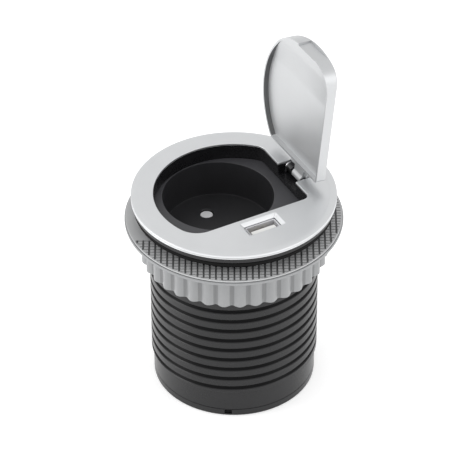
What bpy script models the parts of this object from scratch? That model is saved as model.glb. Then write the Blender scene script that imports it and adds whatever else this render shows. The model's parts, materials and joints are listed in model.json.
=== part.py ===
"""A desk grommet: a threaded sleeve that drops through a round cut-out in a worktop and is clamped
from below by a nut. A metal cover ring with a hinged lid closes a round well and holds a USB port.

The underside of the bottom cap is at Z = 0 and the sleeve's axis is the Z axis. The lid is hinged on
the +Y side and stands open, and the USB port is on the +X side.
"""

import math

import bmesh
import bpy

MM = 0.001  # lengths below are in millimetres, and meshes are made in metres
GAP = 0.3  # left between pieces that touch
BEYOND = 60.0  # further out than the lid reaches, for the ends of its cutters

# Heights above the underside of the bottom cap
TOP = 101.0
COVER_UNDER = TOP - 2.4
LIP_UNDER = TOP - 1.0
PLATE_TOP = COVER_UNDER - GAP
FLANGE_UNDER = TOP - 5.2
SEAL_UNDER = TOP - 7.4
PLATE_UNDER = TOP - 7.9
WASHER_TOP = TOP - 12.5
NUT_UNDER = TOP - 32.5
THREAD_END = TOP - 86.4
CAP_HEIGHT = 3.5
BOARD_UNDER = 47.5
BOARD_TOP = 49.1

# Radii about the sleeve's axis
COVER_R = 46.4
COVER_FLAT_R = 43.0
FLANGE_R = 45.6
CREST_R = 38.5
ROOT_R = 37.7
BARREL_R = 37.5
INSIDE_R = 36.7

# The opening: a circle cut short on the USB side and on the hinge side
OPENING_R = 36.3
OPENING_X = 20.1
OPENING_Y = 27.7
PORT_CORNER_R = 11.0
HINGE_CORNER_R = 3.0
FAR_CORNER_R = 6.0
COLLAR_WALL = 1.3

# Thread
PITCH = 5.6
TURNS = 14
THREAD_START_DEG = -130
FIRST_GROOVE = TOP - 6.8
GROOVE_WIDTH = 2.3
GROOVE_FLOOR = 1.0

# Lid and hinge
LID_INSET = 1.5
LID_THICK = 4.9
LID_END_THICK = 7.5
LID_BEND_Y = -21.0
LIP_WIDTH = 1.0
RECESS_DEPTH = 2.6
RAMP_Y = (-20.5, -28.5)
RAMP_FOOT = TOP - 7.2
THUMB_X = (-5.4, 9.0)
THUMB_Y = (-33.0, -33.6)
THUMB_TOP = TOP - 0.5
PIN_Y = 33.4
PIN_Z = TOP - 2.5
PIN_R = 0.95
PIN_HOLE_R = 1.25
KNUCKLE_R = 2.2
OPEN_DEG = 96.0
NOTCH_X = (-8.7, 7.2)
NOTCH_END_Y = 36.4
NOTCH_FLOOR = TOP - 5.75
PIN_X = (NOTCH_X[0] - 1.2, NOTCH_X[1] + 1.2)
PIN_SEAT_X = (NOTCH_X[0] - 2.0, NOTCH_X[1] + 2.0)
ARM_X = (-2.5, 4.8)
TAB_X = (-8.2, 6.7)
ARM_UNDER = TOP - 3.5
TAB_UNDER = TOP - 2.2
TAB_TOP = TOP - 0.1
TAB_END_Y = PIN_Y - 2.7
TAB_SIDE_END_Y = PIN_Y - 1.6

# Well
WELL_X = -10.3
WELL_Y = -2.5
WELL_R = 25.3
WELL_FLOOR_R = 24.7
WELL_WALL = 1.3
WELL_FLOOR = TOP - 26.0
WELL_UNDER = TOP - 30.0
LEDGE_TOP = PLATE_UNDER - GAP
LEDGE_UNDER = LEDGE_TOP - 1.8
WELL_SCREW_OFFSET = 11.3

# USB port
PORT_X = 27.0
PORT_Y = -0.25
PORT_SIZE = (6.6, 15.5)
PORT_CHAMFER = 1.5
SHELL_SIZE = (6.0, 14.9)
SHELL_WALL = 0.4
SHELL_TOP = TOP - 1.8
SHELL_UNDER = TOP - 15.0
TONGUE_TOP = TOP - 2.6
CONTACT_TOP = TOP - 3.2
CONTACT_UNDER = TOP - 11.7

# Nut
NUT_BORE_R = 39.0
NUT_FLANGE_R = 49.5
NUT_FLANGE_THICK = 1.3
WASHER_THICK = 0.6
WASHER_R = 49.0
LOBES = 36
LOBE_VALLEY_R = 41.2
LOBE_HEIGHT = 1.7

# Screws
COVER_SCREW_ANGLES = (45, 135, 225, 315)
COVER_SCREW_AT_R = 41.9
POST_ANGLES = (30, 150, 270)
POST_AT_R = 32.6
POST_R = 3.4


def clear_scene():
    for obj in list(bpy.data.objects):
        bpy.data.objects.remove(obj, do_unlink=True)


def make_material(name, colour, roughness, metallic=0.0):
    material = bpy.data.materials.new(name)
    material.use_nodes = True
    shader = material.node_tree.nodes["Principled BSDF"]
    shader.inputs["Base Color"].default_value = (*colour, 1.0)
    shader.inputs["Roughness"].default_value = roughness
    shader.inputs["Metallic"].default_value = metallic
    return material


def finish_mesh(name, bm, material=None):
    """Turns a closed bmesh in millimetres into an object in metres, with its faces pointing out."""
    bmesh.ops.recalc_face_normals(bm, faces=bm.faces[:])
    bmesh.ops.scale(bm, vec=(MM, MM, MM), verts=bm.verts[:])
    mesh = bpy.data.meshes.new(name)
    bm.to_mesh(mesh)
    bm.free()
    mesh.shade_smooth()
    mesh.set_sharp_from_angle(angle=math.radians(35))
    obj = bpy.data.objects.new(name, mesh)
    bpy.context.scene.collection.objects.link(obj)
    if material:
        mesh.materials.append(material)
    return obj


def helper(obj):
    obj.hide_render = True
    obj.display_type = "WIRE"
    return obj


def combine(target, other, operation):
    modifier = target.modifiers.new(operation.lower(), "BOOLEAN")
    modifier.operation = operation
    modifier.object = helper(other)
    modifier.solver = "EXACT"


def cut(target, *cutters):
    for cutter in cutters:
        combine(target, cutter, "DIFFERENCE")


def join(target, *others):
    for other in others:
        combine(target, other, "UNION")


def arc(x, y, radius, start, end, steps):
    """Points along an arc, with the angles in degrees and both ends included."""
    angles = [math.radians(start + (end - start) * i / steps) for i in range(steps + 1)]
    return [(x + radius * math.cos(a), y + radius * math.sin(a)) for a in angles]


def opening_outline(inset, steps=48):
    """The opening's outline moved inwards by inset, anticlockwise, with rounded corners."""
    radius = OPENING_R - inset
    edge_x = OPENING_X - inset
    edge_y = OPENING_Y - inset
    port_x = edge_x - PORT_CORNER_R
    port_y = -math.sqrt((radius - PORT_CORNER_R) ** 2 - port_x**2)
    port_angle = math.degrees(math.atan2(port_y, port_x))
    far_y = edge_y - FAR_CORNER_R
    far_x = -math.sqrt((radius - FAR_CORNER_R) ** 2 - far_y**2)
    far_angle = math.degrees(math.atan2(far_y, far_x))
    points = arc(0, 0, radius, far_angle, port_angle + 360, steps)
    points += arc(port_x, port_y, PORT_CORNER_R, port_angle, 0, 8)[1:]
    points += arc(edge_x - HINGE_CORNER_R, edge_y - HINGE_CORNER_R, HINGE_CORNER_R, 0, 90, 4)
    points += arc(far_x, far_y, FAR_CORNER_R, 90, far_angle, 5)[:-1]
    return points


def turned(name, profile, material=None, at=(0.0, 0.0), segments=48):
    """A closed (radius, height) profile turned about a vertical axis at (x, y)."""
    bm = bmesh.new()
    rings = []
    for radius, z in profile:
        if radius == 0:
            rings.append([bm.verts.new((at[0], at[1], z))])
            continue
        points = arc(at[0], at[1], radius, 0, 360, segments)[:-1]
        rings.append([bm.verts.new((x, y, z)) for x, y in points])
    for ring, following in zip(rings, rings[1:] + rings[:1]):
        if len(ring) == 1 and len(following) == 1:
            continue
        for i in range(segments):
            j = (i + 1) % segments
            corners = [
                ring[i % len(ring)],
                ring[j % len(ring)],
                following[j % len(following)],
                following[i % len(following)],
            ]
            bm.faces.new(dict.fromkeys(corners))
    return finish_mesh(name, bm, material)


def ring(name, inner, outer, low, high, material=None, segments=60):
    profile = [(inner, low), (outer, low), (outer, high), (inner, high)]
    return turned(name, profile, material, segments=segments)


def lofted(name, layers, material=None):
    """Stacks (outline, height) layers that have the same number of points and caps both ends."""
    bm = bmesh.new()
    loops = [[bm.verts.new((x, y, z)) for x, y in outline] for outline, z in layers]
    for lower, upper in zip(loops, loops[1:]):
        for i in range(len(lower)):
            j = (i + 1) % len(lower)
            bm.faces.new((lower[i], lower[j], upper[j], upper[i]))
    bm.faces.new(reversed(loops[0]))
    bm.faces.new(loops[-1])
    return finish_mesh(name, bm, material)


def disc(name, radius, low, high, material=None, at=(0.0, 0.0), segments=24):
    outline = arc(at[0], at[1], radius, 0, 360, segments)[:-1]
    return lofted(name, [(outline, low), (outline, high)], material)


def rectangle(x, y, width, depth):
    half_w = width / 2
    half_d = depth / 2
    return [
        (x - half_w, y - half_d),
        (x + half_w, y - half_d),
        (x + half_w, y + half_d),
        (x - half_w, y + half_d),
    ]


def block(name, x, y, z, material=None):
    """A box from three (low, high) pairs."""
    outline = [(x[0], y[0]), (x[1], y[0]), (x[1], y[1]), (x[0], y[1])]
    return lofted(name, [(outline, z[0]), (outline, z[1])], material)


def bar_x(name, x, section, material=None):
    """A (y, z) section drawn out along X between the two ends in x."""
    bm = bmesh.new()
    ends = [[bm.verts.new((end, b, c)) for b, c in section] for end in x]
    for i in range(len(section)):
        j = (i + 1) % len(section)
        bm.faces.new((ends[0][i], ends[0][j], ends[1][j], ends[1][i]))
    bm.faces.new(reversed(ends[0]))
    bm.faces.new(ends[1])
    return finish_mesh(name, bm, material)


def round_bar_x(name, x, y, z, radius, material=None, segments=16):
    return bar_x(name, x, arc(y, z, radius, 0, 360, segments)[:-1], material)


def polar(radius, degrees):
    angle = math.radians(degrees)
    return radius * math.cos(angle), radius * math.sin(angle)


def screw(name, at, head_face, tip, material, head_r=2.2, head_h=1.2, shank_r=1.1):
    """A pan-head screw whose head's outer face is at head_face, with a round socket in the head."""
    way = 1 if tip > head_face else -1
    socket_r = head_r * 0.45
    socket_floor = head_face + way * head_h * 0.55
    neck = head_face + way * head_h
    profile = [
        (0, socket_floor),
        (socket_r, socket_floor),
        (socket_r, head_face),
        (head_r * 0.85, head_face),
        (head_r, head_face + way * head_h * 0.3),
        (head_r, neck),
        (shank_r, neck),
        (shank_r, tip - way * shank_r),
        (shank_r * 0.4, tip),
        (0, tip),
    ]
    return turned(name, profile, material, at, segments=12)


# The clamped structure


def make_opening(name, grow, low, high, notch_low):
    """The space over the well and the hinge's notch beside it, grown sideways, as two solids."""
    outline = opening_outline(-grow)
    notch_x = (NOTCH_X[0] - grow, NOTCH_X[1] + grow)
    return (
        lofted(f"{name}_opening", [(outline, low), (outline, high)]),
        block(f"{name}_notch", notch_x, (24, NOTCH_END_Y + grow), (notch_low, high)),
    )


def make_cover_ring(material, rounding=0.6):
    """The metal ring on the worktop. Only a thin lip of it shows round the opening and the notch."""
    edge = arc(0, 0, 1, 90, 0, 5)
    rim = [(COVER_FLAT_R + (COVER_R - COVER_FLAT_R) * x, TOP - rounding * (1 - y)) for x, y in edge]
    profile = [(12.0, COVER_UNDER), (12.0, TOP)] + rim
    profile += [(COVER_R, COVER_UNDER + 0.5), (COVER_R - 0.3, COVER_UNDER + 0.3), (COVER_R - 0.3, COVER_UNDER)]
    cover = turned("cover_ring", profile, material, segments=72)
    cut(cover, *make_opening("cut_cover", 0, COVER_UNDER - 1, TOP + 1, COVER_UNDER - 1))
    pocket_low = COVER_UNDER - 1
    cut(cover, *make_opening("cut_pocket", COLLAR_WALL + GAP, pocket_low, LIP_UNDER, pocket_low))
    wide = [side + 2 * PORT_CHAMFER + 2 for side in PORT_SIZE]
    aperture = [
        (rectangle(PORT_X, PORT_Y, *PORT_SIZE), COVER_UNDER - 1),
        (rectangle(PORT_X, PORT_Y, *PORT_SIZE), TOP - PORT_CHAMFER),
        (rectangle(PORT_X, PORT_Y, *wide), TOP + 1),
    ]
    cut(cover, lofted("cut_port", aperture))
    for angle in COVER_SCREW_ANGLES:
        at = polar(COVER_SCREW_AT_R, angle)
        cut(cover, disc("cut_cover_screw", 1.3, COVER_UNDER - 1, COVER_UNDER + 1.5, at=at, segments=12))
    return cover


def sleeve_columns(bm, segments):
    """Vertices of the sleeve's section at each angle, going round clockwise as the thread drops."""
    head = [
        (6.0, PLATE_TOP),
        (FLANGE_R, PLATE_TOP),
        (FLANGE_R, FLANGE_UNDER),
        (CREST_R, FLANGE_UNDER),
    ]
    tail = [
        (CREST_R, THREAD_END),
        (BARREL_R, THREAD_END - 0.5),
        (BARREL_R, CAP_HEIGHT + GAP),
        (INSIDE_R, CAP_HEIGHT + GAP),
        (INSIDE_R, PLATE_UNDER),
        (6.0, PLATE_UNDER),
    ]
    columns = []
    for i in range(segments):
        turn = i / segments
        section = list(head)
        for groove in range(TURNS):
            z = FIRST_GROOVE - PITCH * (groove + turn)
            section.append((CREST_R, z + GROOVE_WIDTH / 2))
            section.append((ROOT_R, z + GROOVE_FLOOR / 2))
            section.append((ROOT_R, z - GROOVE_FLOOR / 2))
            section.append((CREST_R, z - GROOVE_WIDTH / 2))
        section += tail
        degrees = THREAD_START_DEG - 360 * turn
        columns.append([bm.verts.new((*polar(r, degrees), z)) for r, z in section])
    return columns, len(head)


def make_body_sleeve(material, segments=32):
    """Flange, top plate, collar round the opening, threaded tube and screw posts, moulded as one."""
    bm = bmesh.new()
    columns, first = sleeve_columns(bm, segments)
    count = len(columns[0])
    for near, far in zip(columns, columns[1:]):
        for k in range(count):
            following = (k + 1) % count
            bm.faces.new((near[k], near[following], far[following], far[k]))
    # Where the last section meets the first one, each groove meets the one below it.
    near = columns[-1]
    far = columns[0]
    last = first + 4 * (TURNS - 1)
    for k in range(first, last):
        if (k - first) % 4 == 3 and k + 1 == last:
            continue
        bm.faces.new((near[k], near[k + 1], far[k + 5], far[k + 4]))
    bm.faces.new((near[first - 1], near[first], far[first + 4], far[first + 3], far[first], far[first - 1]))
    bm.faces.new(far[first : first + 4])
    bm.faces.new((near[last - 1], near[last], near[last + 3], near[last + 4], far[last + 4], far[last + 3]))
    bm.faces.new(near[last : last + 4])
    for k in list(range(last + 4, count)) + list(range(first - 1)):
        following = (k + 1) % count
        bm.faces.new((near[k], near[following], far[following], far[k]))
    sleeve = finish_mesh("body_sleeve", bm, material)
    collar_low = PLATE_TOP - 1
    join(sleeve, *make_opening("join_collar", COLLAR_WALL, collar_low, LIP_UNDER - GAP, collar_low))
    cut(sleeve, *make_opening("cut_cup", 0, PLATE_UNDER - 1, TOP, NOTCH_FLOOR))
    cut(sleeve, round_bar_x("cut_pin_groove", PIN_SEAT_X, PIN_Y, PIN_Z, PIN_HOLE_R))
    cut(sleeve, block("cut_pin_entry", PIN_SEAT_X, (PIN_Y - PIN_HOLE_R, PIN_Y + PIN_HOLE_R), (PIN_Z, TOP)))
    shell_hole = rectangle(PORT_X, PORT_Y, SHELL_SIZE[0] + 2 * GAP, SHELL_SIZE[1] + 2 * GAP)
    cut(sleeve, lofted("cut_port_shell", [(shell_hole, PLATE_UNDER - 1), (shell_hole, TOP)]))
    for angle in COVER_SCREW_ANGLES:
        at = polar(COVER_SCREW_AT_R, angle)
        cut(sleeve, disc("cut_head", 2.4, FLANGE_UNDER - 1, FLANGE_UNDER + 1.2, at=at, segments=12))
        cut(sleeve, disc("cut_shank", 1.4, FLANGE_UNDER, TOP, at=at, segments=12))
    for angle in POST_ANGLES:
        join(sleeve, make_post(angle))
    for angle in POST_ANGLES:
        at = polar(POST_AT_R, angle)
        low = CAP_HEIGHT + GAP
        cut(sleeve, disc("cut_post_low", 1.3, low - 1, low + 8, at=at, segments=12))
        cut(sleeve, disc("cut_post_high", 1.3, BOARD_UNDER - 8, BOARD_UNDER + 1, at=at, segments=12))
    return sleeve


def make_post(angle):
    """A screw post and the web that ties it to the tube."""
    low = CAP_HEIGHT + GAP
    high = BOARD_UNDER - GAP
    post = disc("join_post", POST_R, low, high, at=polar(POST_AT_R, angle), segments=20)
    web = block("join_web", (POST_AT_R + 1, ROOT_R - 0.4), (-1.5, 1.5), (low + 0.5, high - 0.5))
    web.rotation_euler.z = math.radians(angle)
    join(post, web)
    return post


def make_bottom_cap(material):
    profile = [
        (6.3, 0),
        (BARREL_R - 0.6, 0),
        (BARREL_R, 0.6),
        (BARREL_R, CAP_HEIGHT),
        (6.3, CAP_HEIGHT),
    ]
    cap = turned("bottom_cap", profile, material, segments=48)
    slot = block("cut_pry_slot", (BARREL_R - 1.4, BARREL_R + 2), (-1.7, 1.7), (1.0, CAP_HEIGHT + 1))
    slot.rotation_euler.z = math.radians(-33)
    cut(cap, slot)
    for angle in POST_ANGLES:
        at = polar(POST_AT_R, angle)
        cut(cap, disc("cut_cap_head", 2.9, -1, 1.7, at=at, segments=16))
        cut(cap, disc("cut_cap_shank", 1.6, 0, CAP_HEIGHT + 1, at=at, segments=12))
    for x in (-11, 11):
        join(cap, disc("join_clamp_post", 3.0, CAP_HEIGHT - 1, CAP_HEIGHT + 6, at=(x, 14), segments=16))
        cut(cap, disc("cut_clamp_post", 1.3, CAP_HEIGHT, CAP_HEIGHT + 7, at=(x, 14), segments=12))
    return cap


def skirt_radius(degrees):
    return LOBE_VALLEY_R + LOBE_HEIGHT * abs(math.sin(math.radians(degrees) * LOBES / 2)) ** 0.7


def make_lock_nut(material, steps_per_lobe=3):
    """The clamping nut: a thin flange over a skirt with finger lobes."""
    flange_top = WASHER_TOP - WASHER_THICK - GAP
    flange_under = flange_top - NUT_FLANGE_THICK
    bm = bmesh.new()
    columns = []
    count = LOBES * steps_per_lobe
    for i in range(count):
        degrees = 360 * i / count
        skirt = skirt_radius(degrees)
        section = [
            (NUT_BORE_R, NUT_UNDER),
            (skirt, NUT_UNDER),
            (skirt, flange_under),
            (NUT_FLANGE_R, flange_under),
            (NUT_FLANGE_R, flange_top),
            (NUT_BORE_R, flange_top),
        ]
        columns.append([bm.verts.new((*polar(r, degrees), z)) for r, z in section])
    for near, far in zip(columns, columns[1:] + columns[:1]):
        for k in range(len(near)):
            following = (k + 1) % len(near)
            bm.faces.new((near[k], near[following], far[following], far[k]))
    return finish_mesh("lock_nut", bm, material)


# The lid and its hinge


def lid_underside(y):
    """Height of the closed lid's underside, which drops towards the free end."""
    drop = (LID_END_THICK - LID_THICK) / (LID_BEND_Y + OPENING_R - LID_INSET)
    return TOP - LID_THICK - drop * max(0, LID_BEND_Y - y)


def make_lid_recess(low):
    """The hollow in the underside, whose floor ramps out to the underside near the free end."""
    inner = opening_outline(LID_INSET + LIP_WIDTH)
    floor = TOP - LID_THICK + RECESS_DEPTH
    recess = lofted("cut_recess", [(inner, low), (inner, floor)])
    section = [(BEYOND, low - 1), (BEYOND, floor + 1), (RAMP_Y[0], floor + 1)]
    section += [(RAMP_Y[0], floor), (RAMP_Y[1], RAMP_FOOT), (RAMP_Y[1], low - 1)]
    combine(recess, bar_x("limit_recess", (-BEYOND, BEYOND), section), "INTERSECT")
    return recess


def make_lid(material):
    """The lid is drawn closed, hung on an empty at its hinge axis and turned open."""
    low = TOP - LID_END_THICK - 2
    outer = opening_outline(LID_INSET)
    lid = lofted("lid", [(outer, low), (outer, TOP)], material)
    under = [(BEYOND, low - 1), (BEYOND, TOP - LID_THICK), (LID_BEND_Y, TOP - LID_THICK)]
    under += [(-OPENING_R, lid_underside(-OPENING_R)), (-OPENING_R, low - 1)]
    thumb = [(THUMB_Y[0], low), (THUMB_Y[1], THUMB_TOP), (-BEYOND, THUMB_TOP), (-BEYOND, low)]
    recess = make_lid_recess(low - 1)
    cut(lid, bar_x("cut_underside", (-BEYOND, BEYOND), under), recess, bar_x("cut_thumb", THUMB_X, thumb))

    root_y = OPENING_Y - LID_INSET - LIP_WIDTH / 2
    tab_z = (TAB_UNDER, TAB_TOP)
    arm = block("join_arm", ARM_X, (root_y, PIN_Y), (ARM_UNDER, TAB_TOP))
    tab = block("join_tab", TAB_X, (root_y, TAB_END_Y), tab_z)
    tab_side = block("join_tab_side", (ARM_X[1] - 0.5, TAB_X[1]), (root_y, TAB_SIDE_END_Y), tab_z)
    knuckle = round_bar_x("join_knuckle", ARM_X, PIN_Y, PIN_Z, KNUCKLE_R, segments=24)
    join(arm, knuckle, tab, tab_side)
    join(lid, arm)
    cut(lid, round_bar_x("cut_knuckle_bore", (ARM_X[0] - 1, ARM_X[1] + 1), PIN_Y, PIN_Z, PIN_HOLE_R))

    hinge = bpy.data.objects.new("hinge_axis", None)
    bpy.context.scene.collection.objects.link(hinge)
    hinge.location = (0, PIN_Y * MM, PIN_Z * MM)
    hinge.rotation_euler.x = -math.radians(OPEN_DEG)
    hang_on(hinge, lid)
    return lid


def hang_on(hinge, piece):
    """Parents a piece, and the cutters it uses, to the hinge's empty at the place they were drawn."""
    piece.parent = hinge
    piece.location = -hinge.location
    for modifier in piece.modifiers:
        hang_on(hinge, modifier.object)


def make_hinge_pin(material):
    return round_bar_x("hinge_pin", PIN_X, PIN_Y, PIN_Z, PIN_R, material)


def make_hinge_spring(material, wire=0.33, sides=6, turns=5.0, steps=10):
    """A torsion spring wound about the hinge pin, in the notch beside the lid's arm."""
    coil_r = 2.0
    start_x = NOTCH_X[0] + 0.9
    end_x = ARM_X[0] - 0.8
    total = int(turns * steps)
    path = [(start_x, PIN_Y - coil_r, PIN_Z - 2.6)]
    for i in range(total + 1):
        angle = math.pi + 2 * math.pi * i / steps
        x = start_x + (end_x - start_x) * i / total
        path.append((x, PIN_Y + coil_r * math.cos(angle), PIN_Z - coil_r * math.sin(angle)))
    path.append((end_x, PIN_Y - coil_r, PIN_Z + 0.9))
    curve = bpy.data.curves.new("hinge_spring", "CURVE")
    curve.dimensions = "3D"
    curve.bevel_depth = wire * MM
    curve.bevel_resolution = (sides - 4) // 2
    curve.use_fill_caps = True
    spline = curve.splines.new("POLY")
    spline.points.add(len(path) - 1)
    for point, (x, y, z) in zip(spline.points, path):
        point.co = (x * MM, y * MM, z * MM, 1)
    curve.materials.append(material)
    spring = bpy.data.objects.new("hinge_spring", curve)
    bpy.context.scene.collection.objects.link(spring)
    return spring


# The well


def make_well_cup(material):
    """Ledge and round well, dropped in from below and screwed to the bracket under it."""
    at = (WELL_X, WELL_Y)
    cup = disc("well_cup", INSIDE_R - GAP, LEDGE_UNDER, LEDGE_TOP, material, segments=60)
    pot = disc("join_pot", WELL_R + WELL_WALL, WELL_UNDER, LEDGE_UNDER + 0.5, at=at, segments=48)
    limit = disc("limit_pot", INSIDE_R - GAP, WELL_UNDER - 1, LEDGE_TOP, segments=60)
    combine(pot, limit, "INTERSECT")
    join(cup, pot)
    bore = [(0, WELL_FLOOR), (WELL_FLOOR_R, WELL_FLOOR), (WELL_R, LEDGE_TOP + 1), (0, LEDGE_TOP + 1)]
    cut(cup, turned("cut_well", bore, at=at, segments=48))
    for side in (-1, 1):
        screw_at = (WELL_X + side * WELL_SCREW_OFFSET, WELL_Y)
        cut(cup, disc("cut_plug_seat", 3.2, WELL_FLOOR - 2.8, WELL_FLOOR + 1, at=screw_at, segments=20))
        cut(cup, disc("cut_well_screw", 1.5, WELL_UNDER - 1, WELL_FLOOR, at=screw_at, segments=12))
    shell_hole = rectangle(PORT_X, PORT_Y, SHELL_SIZE[0] + 2 * GAP, SHELL_SIZE[1] + 2 * GAP)
    cut(cup, lofted("cut_cup_port", [(shell_hole, LEDGE_UNDER - 1), (shell_hole, LEDGE_TOP + 1)]))
    return cup


def make_well_fasteners(steel, cap_plastic):
    for number, side in ((1, -1), (2, 1)):
        at = (WELL_X + side * WELL_SCREW_OFFSET, WELL_Y)
        face = WELL_FLOOR - 1.7
        screw(f"well_screw_{number}", at, face, WELL_UNDER - 4.6, steel, 2.6, 0.8, 1.2)
        disc(f"screw_cap_{number}", 2.95, face + GAP, WELL_FLOOR - 0.8, cap_plastic, at, 20)


def make_cup_bracket(material):
    """A bar across the tube that the well's screws pull against."""
    reach = math.sqrt((INSIDE_R - GAP) ** 2 - (abs(WELL_Y) + 6) ** 2)
    high = WELL_UNDER - GAP
    bar = block("cup_bracket", (-reach, reach), (WELL_Y - 6, WELL_Y + 6), (high - 3, high), material)
    for side in (-1, 1):
        at = (WELL_X + side * WELL_SCREW_OFFSET, WELL_Y)
        cut(bar, disc("cut_bracket_screw", 1.5, high - 4, high + 1, at=at, segments=12))
    return bar


# The USB port and its electronics


def make_usb_shell(material):
    outer = rectangle(PORT_X, PORT_Y, *SHELL_SIZE)
    inner = rectangle(PORT_X, PORT_Y, SHELL_SIZE[0] - 2 * SHELL_WALL, SHELL_SIZE[1] - 2 * SHELL_WALL)
    shell = lofted("usb_shell", [(outer, SHELL_UNDER), (outer, SHELL_TOP)], material)
    cut(shell, lofted("cut_shell", [(inner, SHELL_UNDER + 0.8), (inner, SHELL_TOP + 1)]))
    return shell


def make_usb_tongue(material):
    """The plastic tongue, with a flat groove for each contact on the side that faces the gap."""
    inner_x = PORT_X + SHELL_SIZE[0] / 2 - SHELL_WALL
    x = (inner_x - 0.5 - 2.4, inner_x - 0.5)
    tongue = block("usb_tongue", x, (PORT_Y - 6, PORT_Y + 6), (SHELL_UNDER + 1.1, TONGUE_TOP), material)
    groove_z = (CONTACT_UNDER - GAP, CONTACT_TOP + GAP)
    for number in range(4):
        y = PORT_Y + (number - 1.5) * 2.6
        make_contact(number + 1, x[0], y)
        groove = block("cut_contact", (x[0] - 1, x[0] + 0.7), (y - 0.8, y + 0.8), groove_z)
        cut(tongue, groove)
    return tongue


def make_contact(number, face, y):
    gold = make_material(f"contact_gold_{number}", (0.83, 0.62, 0.24), 0.3, 1.0)
    x = (face + 0.05, face + 0.4)
    block(f"usb_contact_{number}", x, (y - 0.5, y + 0.5), (CONTACT_UNDER, CONTACT_TOP), gold)


def make_usb_board(material):
    high = SHELL_UNDER - GAP
    return block("usb_board", (18.5, 33.0), (-9.5, 9.5), (high - 1.6, high), material)


def make_charger_board(material):
    board = disc("charger_board", INSIDE_R - 0.6, BOARD_UNDER, BOARD_TOP, material, segments=48)
    for angle in POST_ANGLES:
        cut(board, disc("cut_board", 1.5, BOARD_UNDER - 1, BOARD_TOP + 1, at=polar(POST_AT_R, angle), segments=12))
    return board


def make_board_parts(ferrite, can, green):
    low = BOARD_TOP + GAP
    block("transformer", (-20, -2), (-9, 9), (low, low + 14), ferrite)
    for number, y in ((1, -17), (2, 17)):
        disc(f"capacitor_{number}", 5.0, low, low + 13, can, (8, y), 24)
    block("terminal_block", (-8, 8), (-22, -11), (BOARD_UNDER - GAP - 10, BOARD_UNDER - GAP), green)


def make_link_cable(material):
    """The flat lead that carries power from the charger board up to the USB board."""
    high = SHELL_UNDER - 2 * GAP - 1.6
    return block("link_cable", (29.0, 30.2), (4.0, 9.0), (BOARD_TOP + GAP, high), material)


def make_inlet(rubber, plastic, steel):
    """The bush that lines the cord inlet, and the bar that would hold the cord."""
    groove_r = 6.0
    profile = [
        (3.6, 0.3),
        (5.8, 0.3),
        (groove_r, 0.6),
        (groove_r, CAP_HEIGHT + GAP),
        (8.0, CAP_HEIGHT + GAP),
        (7.6, CAP_HEIGHT + 2.0),
        (3.6, CAP_HEIGHT + 2.0),
    ]
    turned("inlet_bush", profile, rubber, segments=32)
    low = CAP_HEIGHT + 6 + GAP
    bar = block("cord_clamp", (-15, 15), (10.5, 17.5), (low, low + 3), plastic)
    for number, x in ((1, -11), (2, 11)):
        cut(bar, disc("cut_clamp", 1.5, low - 1, low + 4, at=(x, 14), segments=12))
        screw(f"clamp_screw_{number}", (x, 14), low + 3 + GAP + 1.2, CAP_HEIGHT + 1, steel)


def main():
    clear_scene()
    satin = make_material("satin_metal", (0.66, 0.67, 0.68), 0.32, 1.0)
    black = make_material("black_plastic", (0.01, 0.01, 0.011), 0.3)
    grey = make_material("grey_plastic", (0.3, 0.305, 0.31), 0.45)
    rubber = make_material("black_rubber", (0.01, 0.01, 0.01), 0.7)
    steel = make_material("steel", (0.6, 0.6, 0.62), 0.25, 1.0)
    white = make_material("white_plastic", (0.85, 0.85, 0.83), 0.4)
    green = make_material("board_green", (0.03, 0.2, 0.08), 0.5)
    ferrite = make_material("ferrite", (0.12, 0.12, 0.13), 0.7)
    can = make_material("capacitor_sleeve", (0.05, 0.06, 0.2), 0.4)

    make_cover_ring(satin)
    make_body_sleeve(black)
    make_bottom_cap(black)
    ring("seal_ring", CREST_R + 0.4, FLANGE_R - 0.3, SEAL_UNDER, FLANGE_UNDER - GAP, rubber)
    ring("grip_washer", NUT_BORE_R, WASHER_R, WASHER_TOP - WASHER_THICK, WASHER_TOP, grey)
    make_lock_nut(grey)

    make_lid(satin)
    make_hinge_pin(steel)
    make_hinge_spring(steel)

    make_well_cup(black)
    make_well_fasteners(steel, grey)
    make_cup_bracket(steel)

    make_usb_shell(steel)
    make_usb_tongue(white)
    make_usb_board(green)
    make_charger_board(green)
    make_board_parts(ferrite, can, green)
    make_link_cable(white)
    make_inlet(rubber, black, steel)

    for number, angle in enumerate(COVER_SCREW_ANGLES, 1):
        at = polar(COVER_SCREW_AT_R, angle)
        screw(f"cover_screw_{number}", at, FLANGE_UNDER, COVER_UNDER + 1.2, steel, 2.1, 0.9, 1.0)
    for number, angle in enumerate(POST_ANGLES, 1):
        at = polar(POST_AT_R, angle)
        screw(f"cap_screw_{number}", at, 0.3, CAP_HEIGHT + 7, steel, 2.6, 1.1, 1.0)
        screw(f"board_screw_{number}", at, BOARD_TOP + GAP + 1.2, BOARD_UNDER - 7, steel, 2.4, 1.2, 1.0)


main()
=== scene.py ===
"""The looks of the desk grommet: fine meshes for the pieces that show, materials for them all.

Lengths are in millimetres until a mesh is finished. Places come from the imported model's boxes and
joints, and sizes that no box gives are named below.
"""

import json
import math

import bmesh
import bpy
from mathutils import Matrix, Vector


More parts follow.
